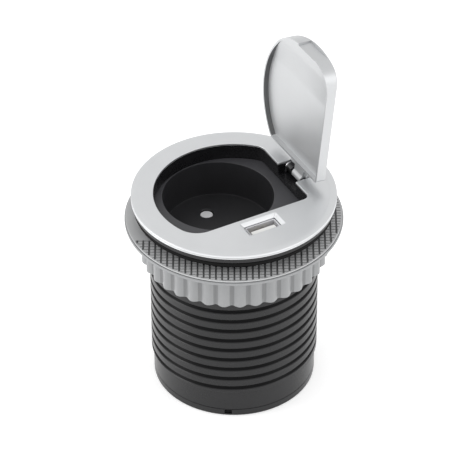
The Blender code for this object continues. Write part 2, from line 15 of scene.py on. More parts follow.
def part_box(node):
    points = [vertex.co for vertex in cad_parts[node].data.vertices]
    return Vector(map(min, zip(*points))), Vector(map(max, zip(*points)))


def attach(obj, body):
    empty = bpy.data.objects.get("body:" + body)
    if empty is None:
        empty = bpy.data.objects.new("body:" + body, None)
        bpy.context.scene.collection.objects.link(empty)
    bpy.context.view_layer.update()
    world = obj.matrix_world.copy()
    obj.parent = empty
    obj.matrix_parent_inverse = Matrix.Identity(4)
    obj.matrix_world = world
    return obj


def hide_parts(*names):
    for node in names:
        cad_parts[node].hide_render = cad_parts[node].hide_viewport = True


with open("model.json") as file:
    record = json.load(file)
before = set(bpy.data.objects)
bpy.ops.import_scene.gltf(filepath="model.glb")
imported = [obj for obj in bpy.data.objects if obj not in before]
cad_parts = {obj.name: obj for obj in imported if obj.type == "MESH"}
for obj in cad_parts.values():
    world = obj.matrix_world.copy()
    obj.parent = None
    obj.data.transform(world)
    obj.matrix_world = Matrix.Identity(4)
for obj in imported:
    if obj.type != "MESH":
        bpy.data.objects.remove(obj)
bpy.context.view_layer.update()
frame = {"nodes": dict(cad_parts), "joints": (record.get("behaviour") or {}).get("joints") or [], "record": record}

MM = 0.001
GAP = 0.3  # left between pieces that touch
PAST = 1.0  # how far a cutter or a joined piece runs past the face that it meets
BEYOND = 60.0  # further out than the lid reaches, for the ends of its cutters
SHARP_DEG = 32
RECORD = frame["record"]
SLOTS = {part["node"]: part["material_slot"] for part in RECORD["subparts"]}
COLOURS = {entry["slot"]: entry["base_color"] for entry in RECORD["materials"]}
BODIES = RECORD["behaviour"]["bodies"]
BODY_OF = {node: body for body, nodes in BODIES.items() for node in nodes}
JOINTS = {entry["name"]: entry for entry in frame["joints"]}


def box_mm(node):
    low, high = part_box(node)
    return low / MM, high / MM


# Driving dimensions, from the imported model

cover_low, cover_high = box_mm("cover_ring")
seal_low, seal_high = box_mm("seal_ring")
cup_low, cup_high = box_mm("well_cup")
lid_low, lid_high = box_mm("lid")
nut_low, nut_high = box_mm("lock_nut")
washer_low, washer_high = box_mm("grip_washer")
shell_low, shell_high = box_mm("usb_shell")
tongue_low, tongue_high = box_mm("usb_tongue")
pin_low, pin_high = box_mm("hinge_pin")
cap_high = box_mm("bottom_cap")[1]

# Cover ring and sleeve

TOP = cover_high.z
COVER_UNDER = cover_low.z
COVER_R = cover_high.x
COVER_FLAT_R = COVER_R - 3.4
COVER_BLANK_R = 12.0  # within the opening, which is cut out of the blank
COVER_LINE = 0.12  # half the width of the fine line round the flat top
COVER_EDGE_DROP = 0.75
COVER_MOUTH_R = 0.3
LIP_UNDER = TOP - 1.0
PLATE_TOP = COVER_UNDER - GAP
PLATE_UNDER = cup_high.z + GAP
FLANGE_R = COVER_R - 0.8
FLANGE_UNDER = seal_high.z + GAP
FLANGE_EDGE = 0.3
SLEEVE_BLANK_R = 6.0
CREST_R = 38.5
BARREL_R = cap_high.x
INSIDE_R = cup_high.x + GAP
COLLAR_WALL = 1.3
SEAL_WIDTH = 6.4

# Lid and hinge

LID_INSET = 1.5
LID_THICK = 4.9
LID_END_THICK = 7.5
LID_BEND_Y = -21.0
LID_EDGE_R = 0.7
LIP_WIDTH = 1.0
RECESS_DEPTH = 2.3
RAMP_Y = (-11.0, -30.8)
RAMP_STEPS = 14
RAMP_POWER = 1.5
RAMP_FOOT = TOP - 7.2
THUMB_X = (-5.4, 9.0)
THUMB_Y = (-33.0, -33.6)
THUMB_TOP = TOP - 1.0
OPENING_R = LID_INSET - lid_low.x
OPENING_X = lid_high.x + LID_INSET
HINGE = Vector(JOINTS["lid_hinge"]["pos_m"]) / MM
OPEN_ANGLE = math.radians(JOINTS["lid_hinge"]["range_deg"][1])
OPENING_Y = HINGE.y - 5.7
PORT_CORNER_R = 11.0
HINGE_CORNER_R = 3.0
FAR_CORNER_R = 6.0
NOTCH_X = (pin_low.x + 1.2, pin_high.x - 1.2)
NOTCH_START_Y = 24.0
NOTCH_END_Y = HINGE.y + 3.0
NOTCH_FLOOR = TOP - 5.75
NOTCH_MOUTH_R = 0.5
NOTCH_CORNER_R = 0.8
ARM_X = (-2.5, 4.8)
ARM_UNDER = TOP - 3.5
TAB_X = (-8.2, 6.7)
TAB_UNDER = TOP - 2.2
TAB_TOP = TOP - 0.1
TAB_END_Y = HINGE.y - 2.7
TAB_SIDE_END_Y = HINGE.y - 1.6
KNUCKLE_R = 2.2
PIN_HOLE_R = 1.25
PIN_SEAT_X = (NOTCH_X[0] - 2.0, NOTCH_X[1] + 2.0)
SPRING_WIRE_R = 0.33
SPRING_COIL_R = 2.0
SPRING_TURNS = 5
SPRING_X = (NOTCH_X[0] + 0.9, ARM_X[0] - 0.8)
SPRING_LEG_Z = (HINGE.z - 2.6, HINGE.z + 0.9)

# Thread

PITCH = 5.6
TURNS = 14
THREAD_START_DEG = -130
FIRST_GROOVE = TOP - 6.8
THREAD_END = TOP - 86.4
THREAD_FOOT = 0.6  # height of the step down to the plain barrel
GROOVE_WIDTH = 2.5
GROOVE_DEPTH = 1.15
GROOVE_POWER = 0.7  # under 1 makes the groove's floor broad
GROOVE_SHADE_DEPTH = 0.35  # deeper than this, a groove takes its darker look, painted shade

# Well

LEDGE_TOP = cup_high.z
LEDGE_UNDER = LEDGE_TOP - 1.8
WELL = Vector((-10.3, -2.5))
WELL_R = 25.3
WELL_FLOOR_R = 24.7
WELL_WALL = 1.3
WELL_FLOOR = TOP - 26.0
WELL_SCREW_OFFSET = 11.3
WELL_SEAT_R = 3.2
WELL_SEAT_DEPTH = 2.8
WELL_SCREW_HOLE_R = 1.5

# USB port

PORT = (shell_low + shell_high) / 2
PORT_SIZE = (6.6, 15.5)
PORT_CHAMFER = 1.5
SHELL_CORNER_R = 0.6
SHELL_WALL = 0.4
SHELL_FLOOR = 0.8
CONTACTS = 4

# Nut and washer

LOBES = 36
LOBE_VALLEY_R = 41.2
LOBE_HEIGHT = 1.7
LOBE_POWER = 1.5  # over 1 narrows the lobes' crests
LOBE_SHADE = 0.3  # the share of a lobe's height that takes the darker look, painted shade in the valleys
NUT_BORE_R = 39.0
NUT_FLANGE_THICK = 1.3
WASHER_RIM = 0.7
GRID_ANGLE = math.radians(-28.5)
GRID_START = 19.5  # where grooves start on the side that has the plain sector
GRID_GROOVES = {"pitch": 2.7, "width": 0.85, "depth": 0.45, "along": True}
GRID_CROSS_LINES = {"pitch": 2.0, "width": 0.45, "depth": 0.18, "along": False}

# Screws, posts and cord inlet

TAPPED_R = 1.3
COVER_SCREW_ANGLES = (45, 135, 225, 315)
COVER_SCREW_AT_R = 41.9
COVER_SCREW_HEAD_R = 2.4
COVER_SCREW_HEAD = 1.2
COVER_SCREW_SHANK_R = 1.4
COVER_SCREW_BORE = 1.5
POST_ANGLES = (30, 150, 270)
POST_AT_R = 32.6
POST_R = 3.4
POST_WEB = 1.5  # half the thickness of the web from a post to the wall
POST_BORES = (8.0, 7.7)  # depths of a post's lower and upper hole
CAP_SEAT_R = 2.9
CAP_SEAT_DEPTH = 1.7
CAP_SCREW_HOLE_R = 1.6
PRY_SLOT_DEG = -33
PRY_SLOT_DEPTH = 1.4
PRY_SLOT_HALF_WIDTH = 1.7
PRY_SLOT_FLOOR = 1.0
CLAMP_POST_X = (-11, 11)
CLAMP_POST_Y = 14
CLAMP_POST_R = 3.0
CLAMP_POST_HEIGHT = 6.0
CAP_HEIGHT = cap_high.z - CLAMP_POST_HEIGHT
INLET_R = 6.3
BUSH_NECK_R = 6.0
BUSH_BORE_R = 3.6


# Mesh tools


def finish_mesh(name, bm):
    """Turns a closed bmesh in millimetres into an object in metres, with its faces pointing out."""
    bmesh.ops.recalc_face_normals(bm, faces=bm.faces[:])
    bmesh.ops.scale(bm, vec=(MM, MM, MM), verts=bm.verts[:])
    mesh = bpy.data.meshes.new(name)
    bm.to_mesh(mesh)
    bm.free()
    obj = bpy.data.objects.new(name, mesh)
    bpy.context.scene.collection.objects.link(obj)
    return obj


def apply_modifiers(obj):
    bpy.context.view_layer.update()
    evaluated = obj.evaluated_get(bpy.context.evaluated_depsgraph_get())
    mesh = bpy.data.meshes.new_from_object(evaluated)
    obj.modifiers.clear()
    obj.data = mesh


def combine(target, others, operation):
    """Cuts, joins or intersects target with the other objects, which it uses up."""
    for other in others:
        modifier = target.modifiers.new(operation.lower(), "BOOLEAN")
        modifier.operation = operation
        modifier.solver = "EXACT"
        modifier.object = other
    apply_modifiers(target)
    for other in others:
        bpy.data.objects.remove(other, do_unlink=True)
    return target


def cut(target, *others):
    return combine(target, others, "DIFFERENCE")


def join(target, *others):
    return combine(target, others, "UNION")


def smooth(obj):
    """Smooth shading that keeps large faces flat where a fine rounding meets them."""
    obj.data.shade_smooth()
    obj.data.set_sharp_from_angle(angle=math.radians(SHARP_DEG))
    weighting = obj.modifiers.new("flat_faces", "WEIGHTED_NORMAL")
    weighting.keep_sharp = True
    weighting.weight = 100
    apply_modifiers(obj)


def arc(x, y, radius, start, end, steps):
    """Points along an arc, with the angles in degrees and both ends included."""
    angles = [math.radians(start + (end - start) * i / steps) for i in range(steps + 1)]
    return [(x + radius * math.cos(a), y + radius * math.sin(a)) for a in angles]


def circle(x, y, radius, segments):
    return arc(x, y, radius, 0, 360, segments)[:-1]


def polar(radius, degrees):
    angle = math.radians(degrees)
    return radius * math.cos(angle), radius * math.sin(angle)


def rounded_profile(corners, steps=5):
    """A closed profile from (radius, height, rounding) corners, each turned into a short curve."""
    points = []
    for i, (x, y, rounding) in enumerate(corners):
        here = Vector((x, y))
        if rounding == 0:
            points.append((x, y))
            continue
        before = Vector(corners[i - 1][:2]) - here
        after = Vector(corners[(i + 1) % len(corners)][:2]) - here
        start = here + before.normalized() * rounding
        end = here + after.normalized() * rounding
        for step in range(steps + 1):
            t = step / steps
            point = start * (1 - t) ** 2 + here * 2 * t * (1 - t) + end * t**2
            points.append((point.x, point.y))
    return points


def bridge(bm, near, far):
    """Joins two rings of vertices with a band of faces. Either may be one vertex on the axis."""
    count = max(len(near), len(far))
    if count == 1:
        return
    for i in range(count):
        j = (i + 1) % count
        corners = [ring[k % len(ring)] for ring, k in ((near, i), (near, j), (far, j), (far, i))]
        bm.faces.new(dict.fromkeys(corners))


def turned(name, profile, at=(0.0, 0.0), segments=96):
    """A closed (radius, height) profile turned about a vertical axis at (x, y)."""
    bm = bmesh.new()
    rings = []
    for radius, z in profile:
        points = circle(*at, radius, segments) if radius else [at]
        rings.append([bm.verts.new((x, y, z)) for x, y in points])
    for ring, following in zip(rings, rings[1:] + rings[:1]):
        bridge(bm, ring, following)
    return finish_mesh(name, bm)


def lofted(name, layers):
    """Stacks (outline, height) layers that have the same number of points and caps both ends."""
    bm = bmesh.new()
    loops = [[bm.verts.new((x, y, z)) for x, y in outline] for outline, z in layers]
    for lower, upper in zip(loops, loops[1:]):
        bridge(bm, lower, upper)
    bm.faces.new(reversed(loops[0]))
    bm.faces.new(loops[-1])
    return finish_mesh(name, bm)


def skinned(name, loops):
    """A solid whose skin runs along a row of matching loops of 3-D points, closed at both ends."""
    bm = bmesh.new()
    rings = [[bm.verts.new(point) for point in loop] for loop in loops]
    for ring, following in zip(rings, rings[1:]):
        bridge(bm, ring, following)
    bm.faces.new(rings[0])
    bm.faces.new(rings[-1])
    return finish_mesh(name, bm)


def disc(name, radius, low, high, at=(0.0, 0.0), segments=48):
    rim = circle(*at, radius, segments)
    return lofted(name, [(rim, low), (rim, high)])


def block(name, x, y, z, softness=0.0):
    """A box from three (low, high) pairs, with its edges rounded by softness."""
    corners = [(x[0], y[0]), (x[1], y[0]), (x[1], y[1]), (x[0], y[1])]
    box = lofted(name, [(corners, z[0]), (corners, z[1])])
    if softness:
        bevel = box.modifiers.new("round_edges", "BEVEL")
        bevel.width = softness * MM
        bevel.segments = 3
        apply_modifiers(box)
    return box


def bar_x(name, profile, y, z, segments=48):
    """An (x, radius) profile turned about an axis along X at (y, z), closed at both ends."""
    loops = [[(x, b, c) for b, c in circle(y, z, radius, segments)] for x, radius in profile]
    return skinned(name, loops)


def section_bar(name, x, section):
    """A (y, z) section drawn out along X between the two ends in x."""
    return skinned(name, [[(end, b, c) for b, c in section] for end in x])


def round_end_bar(name, x, y, z, radius, rounding):
    """A round bar along X whose two ends have rounded edges."""
    turn = arc(0, 0, rounding, 0, 90, 4)
    left = [(x[0] + rounding - a, radius - rounding + b) for a, b in turn]
    right = [(x[1] - rounding + a, radius - rounding + b) for a, b in turn]
    return bar_x(name, left + right[::-1], y, z)


def port_outline(width, depth, radius, steps=5):
    """A rounded rectangle about the middle of the USB port."""
    half_w = width / 2 - radius
    half_d = depth / 2 - radius
    points = []
    for sx, sy, start in ((1, 1, 0), (-1, 1, 90), (-1, -1, 180), (1, -1, 270)):
        points += arc(PORT.x + sx * half_w, PORT.y + sy * half_d, radius, start, start + 90, steps)
    return points


def shell_hole(name, low, high):
    """The hole that the USB shell passes through, with a gap all round."""
    width, depth = [size + 2 * GAP for size in (shell_high - shell_low)[:2]]
    hole = port_outline(width, depth, SHELL_CORNER_R)
    return lofted(name, [(hole, low), (hole, high)])


def outline(inset, notched=False):
    """The opening's outline, anticlockwise, moved inwards by inset. Each arc keeps its centre."""
    port_x = OPENING_X - PORT_CORNER_R
    port_y = -math.sqrt((OPENING_R - PORT_CORNER_R) ** 2 - port_x**2)
    port_deg = math.degrees(math.atan2(port_y, port_x)) + 360
    far_y = OPENING_Y - FAR_CORNER_R
    far_x = -math.sqrt((OPENING_R - FAR_CORNER_R) ** 2 - far_y**2)
    far_deg = math.degrees(math.atan2(far_y, far_x))
    hinge_x = OPENING_X - HINGE_CORNER_R
    hinge_y = OPENING_Y - HINGE_CORNER_R
    points = arc(0, 0, OPENING_R - inset, far_deg, port_deg, 110)
    points += arc(port_x, port_y, PORT_CORNER_R - inset, port_deg, 360, 18)[1:]
    points += arc(hinge_x, hinge_y, HINGE_CORNER_R - inset, 0, 90, 10)
    if notched:
        points += notch_points(inset)
    points += arc(far_x, far_y, FAR_CORNER_R - inset, 90, far_deg, 14)[:-1]
    return points


def notch_points(inset):
    """The stretch of outline round the hinge's notch: a mouth corner and an inner one each side."""
    mouth = NOTCH_MOUTH_R
    inner = NOTCH_CORNER_R
    points = arc(NOTCH_X[1] + mouth, OPENING_Y + mouth, mouth + inset, 270, 180, 5)
    points += arc(NOTCH_X[1] - inner, NOTCH_END_Y - inner, inner - inset, 0, 90, 5)
    points += arc(NOTCH_X[0] + inner, NOTCH_END_Y - inner, inner - inset, 90, 180, 5)
    points += arc(NOTCH_X[0] - mouth, OPENING_Y + mouth, mouth + inset, 360, 270, 5)
    return points


def notched_outline(inset):
    return outline(inset, notched=True)


def opening_pair(name, grow, low, high):
    """The opening and the hinge's notch grown sideways, as two solids."""
    grown = outline(-grow)
    notch_x = (NOTCH_X[0] - grow, NOTCH_X[1] + grow)
    notch_y = (NOTCH_START_Y, NOTCH_END_Y + grow)
    return (
        lofted(f"{name}_opening", [(grown, low), (grown, high)]),
        block(f"{name}_notch", notch_x, notch_y, (low, high)),
    )


def quarter_turn(radius, steps=5):
    """Pairs of (sideways, drop) along a rounded edge, from the wall up to the face."""
    angles = [math.radians(90 * i / steps) for i in range(steps + 1)]
    return [(radius * (1 - math.cos(a)), radius * (1 - math.sin(a))) for a in angles]


def flared(outline_at, low, high, radius):
    """Layers of a cutter that widens along an arc as it comes up to a face at height high."""
    layers = [(outline_at(0), low)]
    layers += [(outline_at(-sideways), high - drop) for sideways, drop in quarter_turn(radius)]
    layers.append((outline_at(-radius), high + PAST))
    return layers


def round_topped(outline_at, inset, low, high, radius):
    """Layers of a solid with a rounded top edge."""
    layers = [(outline_at(inset), low)]
    edge = quarter_turn(radius)
    layers += [(outline_at(inset + sideways), high - drop) for sideways, drop in edge]
    return layers


def paint(obj, wants):
    """Gives a piece's second look, its painted shade or painted light, to the faces whose centre and normal pass a
    test.
    """
    for polygon in obj.data.polygons:
        if wants(polygon.center / MM, polygon.normal):
            polygon.material_index = 1


# Materials

FINISHES = {
    # look: (slot, share of its colour, roughness, metallic, grain, bump, tone, spread)
    "satin_silver": ("cover_satin", 1.07, 0.36, 0.85, 0.12, 0.12, 0.03, 0.08),
    "lid_silver": ("cover_satin", 0.88, 0.42, 0.55, 0.12, 0.12, 0.03, 0.08),
    # painted shade on the lid recess's far wall
    "lid_wall_painted_shade": ("cover_satin", 0.24, 0.4, 0.5, 0.12, 0.12, 0.05, 0.08),
    "black_moulding": ("body_black", 1.0, 0.28, 0.0, 0.5, 0.04, 0.15, 0.05),
    # painted shade in the thread's grooves
    "thread_groove_painted_shade": ("body_black", 0.4, 0.4, 0.0, 0.5, 0.04, 0.15, 0.05),
    "well_black": ("body_black", 2.2, 0.4, 0.0, 0.5, 0.06, 0.15, 0.08),
    # painted light on the ledge's upward faces
    "ledge_painted_light": ("body_black", 5.5, 0.5, 0.0, 0.5, 0.06, 0.1, 0.08),
    "black_rubber": ("seal_rubber", 0.6, 0.65, 0.0, 0.35, 0.3, 0.2, 0.15),
    "grey_moulding": ("nut_grey", 1.0, 0.32, 0.0, 0.4, 0.12, 0.05, 0.12),
    # painted shade in the nut's valleys between lobes
    "lobe_valley_painted_shade": ("nut_grey", 0.7, 0.4, 0.0, 0.4, 0.12, 0.05, 0.12),
    "washer_moulding": ("washer_grey", 1.18, 0.5, 0.0, 0.3, 0.2, 0.08, 0.12),
    # painted shade in the washer's grid grooves
    "washer_groove_painted_shade": ("washer_grey", 0.4, 0.6, 0.0, 0.3, 0.2, 0.1, 0.12),
    "polished_steel": ("bright_steel", 1.0, 0.2, 1.0, 0.25, 0.08, 0.05, 0.1),
    "satin_steel": ("bright_steel", 1.2, 0.5, 0.5, 0.25, 0.08, 0.05, 0.1),
    # painted shade on the spring past its first coil
    "spring_painted_shade": ("bright_steel", 0.15, 0.3, 1.0, 0.25, 0.08, 0.1, 0.1),
    "cap_moulding": ("cap_grey", 1.6, 0.4, 0.0, 0.3, 0.1, 0.05, 0.1),
    "white_moulding": ("tongue_white", 1.0, 0.38, 0.0, 0.35, 0.08, 0.03, 0.1),
    "gold_plate": ("contact_gold", 1.0, 0.25, 1.0, 0.1, 0.06, 0.06, 0.1),
    "circuit_board": ("board_green", 1.0, 0.4, 0.0, 0.8, 0.15, 0.25, 0.15),
    "ferrite": ("ferrite_dark", 1.0, 0.7, 0.0, 0.5, 0.4, 0.2, 0.15),
    "can_sleeve": ("can_blue", 1.0, 0.35, 0.0, 0.6, 0.06, 0.1, 0.1),
}
STRETCHED = {
    "polished_steel": (0.15, 1, 1),
    "gold_plate": (1, 1, 0.1),
    "circuit_board": (1, 0.2, 1),
}
SPECULAR = {
    "black_moulding": 0.38,
    # the painted shade in the thread's grooves also shines less
    "thread_groove_painted_shade": 0.12,
    "black_rubber": 0.1,
    # the painted shade in the washer's grooves also shines less
    "washer_groove_painted_shade": 0.2,
}
PLAIN_SPECULAR = 0.5
LOOK_OF_SLOT = {slot: look for look, (slot, *_) in reversed(FINISHES.items())}  # its first look

PATCH = 12.0  # size of the broad patches
RELIEF = 0.05  # depth of the grain
NOISE_LOW = 0.3  # tones and roughness run from one of these noise values to the other
NOISE_HIGH = 0.7
SMOOTHEST = 0.02

# A Map Range node's sockets once it maps vectors: their names repeat, so they go by number
VECTOR_IN, FROM_MIN, FROM_MAX, TO_MIN, TO_MAX = 6, 7, 8, 9, 10
VECTOR_OUT = 1


def shader_of(material):
    return material.node_tree.nodes["Principled BSDF"]


def grained(name, colour, roughness, metallic, grain, bump, tone, spread):
    """Tone, roughness and surface vary with a fine grain, in millimetres, and broad patches."""
    material = bpy.data.materials.new(name)
    material.use_nodes = True
    new_node = material.node_tree.nodes.new
    link = material.node_tree.links.new
    shader = shader_of(material)
    shader.inputs["Metallic"].default_value = metallic

    place = new_node("ShaderNodeTexCoord")
    mapping = new_node("ShaderNodeMapping")
    mapping.inputs["Scale"].default_value = STRETCHED.get(name, (1, 1, 1))
    link(place.outputs["Object"], mapping.inputs["Vector"])
    fine = new_node("ShaderNodeTexNoise")
    fine.inputs["Scale"].default_value = 1 / (grain * MM)
    fine.inputs["Detail"].default_value = 3.0
    link(mapping.outputs["Vector"], fine.inputs["Vector"])
    broad = new_node("ShaderNodeTexNoise")
    broad.inputs["Scale"].default_value = 1 / (PATCH * MM)
    link(place.outputs["Object"], broad.inputs["Vector"])

    # The mean of the two
    both = new_node("ShaderNodeMath")
    both.operation = "MULTIPLY_ADD"
    both.inputs[1].default_value = 0.5
    link(fine.outputs["Fac"], both.inputs[0])
    half = new_node("ShaderNodeMath")
    half.operation = "MULTIPLY"
    half.inputs[1].default_value = 0.5
    link(broad.outputs["Fac"], half.inputs[0])
    link(half.outputs["Value"], both.inputs[2])

    tones = new_node("ShaderNodeMapRange")
    tones.data_type = "FLOAT_VECTOR"
    tones.inputs[TO_MIN].default_value = [c * (1 - tone) for c in colour]
    tones.inputs[TO_MAX].default_value = [min(1.0, c * (1 + tone)) for c in colour]
    tones.inputs[FROM_MIN].default_value = (NOISE_LOW, NOISE_LOW, NOISE_LOW)
    tones.inputs[FROM_MAX].default_value = (NOISE_HIGH, NOISE_HIGH, NOISE_HIGH)
    link(both.outputs["Value"], tones.inputs[VECTOR_IN])
    link(tones.outputs[VECTOR_OUT], shader.inputs["Base Color"])

    rough = new_node("ShaderNodeMapRange")
    rough.inputs["From Min"].default_value = NOISE_LOW
    rough.inputs["From Max"].default_value = NOISE_HIGH
    rough.inputs["To Min"].default_value = max(SMOOTHEST, roughness - spread / 2)
    rough.inputs["To Max"].default_value = roughness + spread / 2
    link(both.outputs["Value"], rough.inputs["Value"])
    link(rough.outputs["Result"], shader.inputs["Roughness"])

    relief = new_node("ShaderNodeBump")
    relief.inputs["Strength"].default_value = bump
    relief.inputs["Distance"].default_value = RELIEF * MM
    link(fine.outputs["Fac"], relief.inputs["Height"])
    link(relief.outputs["Normal"], shader.inputs["Normal"])
    return material


def make_materials():
    made = {}
    for look, (slot, share, *values) in FINISHES.items():
        made[look] = grained(look, [share * c for c in COLOURS[slot]], *values)
        specular = shader_of(made[look]).inputs["Specular IOR Level"]
        specular.default_value = SPECULAR.get(look, PLAIN_SPECULAR)
    shader = shader_of(made["grey_moulding"])
    shader.inputs["Subsurface Weight"].default_value = 0.1
    shader.inputs["Subsurface Radius"].default_value = (MM, MM, MM)
    return made


def show(obj, node, materials, look=None, second_look=None):
    """Finishes a piece: it stands for its CAD node, rides on its body and takes its slot."""
    smooth(obj)
    slot = SLOTS[node]
    painted = [polygon.material_index for polygon in obj.data.polygons]
    obj.data.materials.clear()
    obj.data.materials.append(materials[look or LOOK_OF_SLOT[slot]])
    if second_look:
        obj.data.materials.append(materials[second_look])
        for polygon, index in zip(obj.data.polygons, painted):
            polygon.material_index = index
    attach(obj, BODY_OF[node])
    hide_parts(node)
    return obj


# The clamped structure


def make_cover_ring():
    """The satin ring: a flat top inside a fine line, a rolled edge, a small bead at its foot."""
    profile = [(COVER_BLANK_R, COVER_UNDER), (COVER_BLANK_R, TOP)]
    profile += [(COVER_FLAT_R - COVER_LINE, TOP), (COVER_FLAT_R, TOP - COVER_LINE / 2)]
    profile += [(COVER_FLAT_R + COVER_LINE, TOP - 0.01)]
    width = COVER_R - COVER_FLAT_R
    roll = arc(0, 0, 1, 86, 8, 12)
    profile += [(COVER_FLAT_R + width * x, TOP - COVER_EDGE_DROP * (1 - y)) for x, y in roll]
    profile += rounded_profile(
        [
            (COVER_R, TOP - 1.4, 0.15),
            (COVER_R - 0.35, TOP - 1.55, 0.1),
            (COVER_R - 0.35, TOP - 1.75, 0.1),
            (COVER_R - 0.05, TOP - 1.9, 0.1),
            (COVER_R - 0.05, COVER_UNDER, 0.1),
        ],
        3,
    )
    low = COVER_UNDER - PAST
    cover = turned("fine_cover_ring", profile, segments=256)
    cut(cover, lofted("cut_opening", flared(notched_outline, low, TOP, COVER_MOUTH_R)))
    cut(cover, *opening_pair("cut_pocket", COLLAR_WALL + GAP, low, LIP_UNDER))
    cut(cover, make_port_cutter())
    bore_top = COVER_UNDER + COVER_SCREW_BORE
    seats = []
    for angle in COVER_SCREW_ANGLES:
        at = polar(COVER_SCREW_AT_R, angle)
        seats.append(disc("cut_cover_screw", TAPPED_R, low, bore_top, at, 16))
    return cut(cover, *seats)


def make_port_cutter():
    """The USB aperture and the wide chamfer round it, from the bottom up."""
    reach = 2 * PORT_CHAMFER - 0.3
    layers = [
        # growth of the aperture, corner radius, height
        (0, 0.3, COVER_UNDER - PAST),
        (0, 0.3, TOP - PORT_CHAMFER - 0.12),
        (0.12, 0.35, TOP - PORT_CHAMFER),
        (reach, 0.6, TOP - 0.12),
        (reach + 0.3, 0.75, TOP - 0.02),
        (reach + 1, 1.1, TOP + 0.05),
        (reach + 1, 1.1, TOP + PAST),
    ]
    wide, deep = PORT_SIZE
    return lofted(
        "cut_port",
        [(port_outline(wide + grow, deep + grow, radius), z) for grow, radius, z in layers],
    )


def groove_points(z, steps=8):
    """One thread groove: a smooth hollow across the land."""
    points = []
    for i in range(steps + 1):
        across = 1 - 2 * i / steps
        depth = GROOVE_DEPTH * (0.5 + 0.5 * math.cos(math.pi * across)) ** GROOVE_POWER
        points.append((CREST_R - depth, z + across * GROOVE_WIDTH / 2))
    return points


def make_sleeve_tube(segments=180):
    """The sleeve's section swept round clockwise while the thread drops by one pitch."""
    edge = FLANGE_EDGE
    head = [(SLEEVE_BLANK_R, PLATE_TOP), (FLANGE_R - edge, PLATE_TOP)]
    head += [(FLANGE_R, PLATE_TOP - edge), (FLANGE_R, FLANGE_UNDER + edge)]
    head += [(FLANGE_R - edge, FLANGE_UNDER), (CREST_R, FLANGE_UNDER)]
    tail = rounded_profile(
        [
            (CREST_R, THREAD_END, 0.1),
            (BARREL_R, THREAD_END - THREAD_FOOT, 0.1),
            (BARREL_R, CAP_HEIGHT + GAP, 0.0),
            (INSIDE_R, CAP_HEIGHT + GAP, 0.0),
            (INSIDE_R, PLATE_UNDER, 0.0),
            (SLEEVE_BLANK_R, PLATE_UNDER, 0.0),
        ],
        2,
    )
    bm = bmesh.new()
    columns = []
    for i in range(segments):
        turn = i / segments
        section = list(head)
        for groove in range(TURNS):
            section += groove_points(FIRST_GROOVE - PITCH * (groove + turn))
        section += tail
        degrees = THREAD_START_DEG - 360 * turn
        columns.append([bm.verts.new((*polar(r, degrees), z)) for r, z in section])
    for near, far in zip(columns, columns[1:]):
        bridge(bm, near, far)
    close_seam(bm, columns[-1], columns[0], len(head))
    return finish_mesh("fine_body_sleeve", bm)


def close_seam(bm, near, far, first):
    """Joins the sweep's last column to its first, where each groove runs into the next one down.

    The first column's top groove and the last column's bottom groove end here in flat faces. The
    grooves start at index first of each column.
    """
    per_groove = len(groove_points(0))
    last = first + per_groove * (TURNS - 1)
    after = last + per_groove
    for k in range(first, last - 1):
        bm.faces.new((near[k], near[k + 1], far[k + 1 + per_groove], far[k + per_groove]))
    top_end = far[first : first + per_groove]
    low_end = near[last:after]
    above = (near[first - 1], near[first], far[first + per_groove])
    bm.faces.new((*above, top_end[-1], top_end[0], far[first - 1]))
    bm.faces.new(top_end)
    below = (near[after], far[after], far[after - 1])
    bm.faces.new((near[last - 1], low_end[0], low_end[-1], *below))
    bm.faces.new(low_end)
    for k in list(range(after, len(near))) + list(range(first - 1)):
        following = (k + 1) % len(near)
        bm.faces.new((near[k], near[following], far[following], far[k]))


def make_body_sleeve():
    """Flange, top plate, collar round the opening, threaded tube and screw posts in one piece."""
    sleeve = make_sleeve_tube()
    join(sleeve, *opening_pair("join_collar", COLLAR_WALL, PLATE_TOP - PAST, LIP_UNDER - GAP))
    notch = [(notched_outline(0), NOTCH_FLOOR), (notched_outline(0), TOP)]
    groove = [(x, PIN_HOLE_R) for x in PIN_SEAT_X]
    entry_y = (HINGE.y - PIN_HOLE_R, HINGE.y + PIN_HOLE_R)
    cutters = [
        lofted("cut_cup", [(outline(0), PLATE_UNDER - PAST), (outline(0), TOP)]),
        lofted("cut_hinge_notch", notch),
        bar_x("cut_pin_groove", groove, HINGE.y, HINGE.z),
        block("cut_pin_entry", PIN_SEAT_X, entry_y, (HINGE.z, TOP)),
        shell_hole("cut_port_shell", PLATE_UNDER - PAST, TOP),
    ]
    seat_top = FLANGE_UNDER + COVER_SCREW_HEAD
    seat = [(0, FLANGE_UNDER - PAST), (COVER_SCREW_HEAD_R, FLANGE_UNDER - PAST)]
    seat += [(COVER_SCREW_HEAD_R, seat_top), (COVER_SCREW_SHANK_R, seat_top)]
    seat += [(COVER_SCREW_SHANK_R, TOP), (0, TOP)]
    for angle in COVER_SCREW_ANGLES:
        at = polar(COVER_SCREW_AT_R, angle)
        cutters.append(turned("cut_cover_screw", seat, at, 20))
    add_posts(cut(sleeve, *cutters))

    def in_groove(at, normal):
        deep = BARREL_R - 1 < at.xy.length < CREST_R - GROOVE_SHADE_DEPTH
        return deep and THREAD_END < at.z < FLANGE_UNDER

    # painted shade: the deep faces of the thread grooves take the darker look
    paint(sleeve, in_groove)
    return sleeve


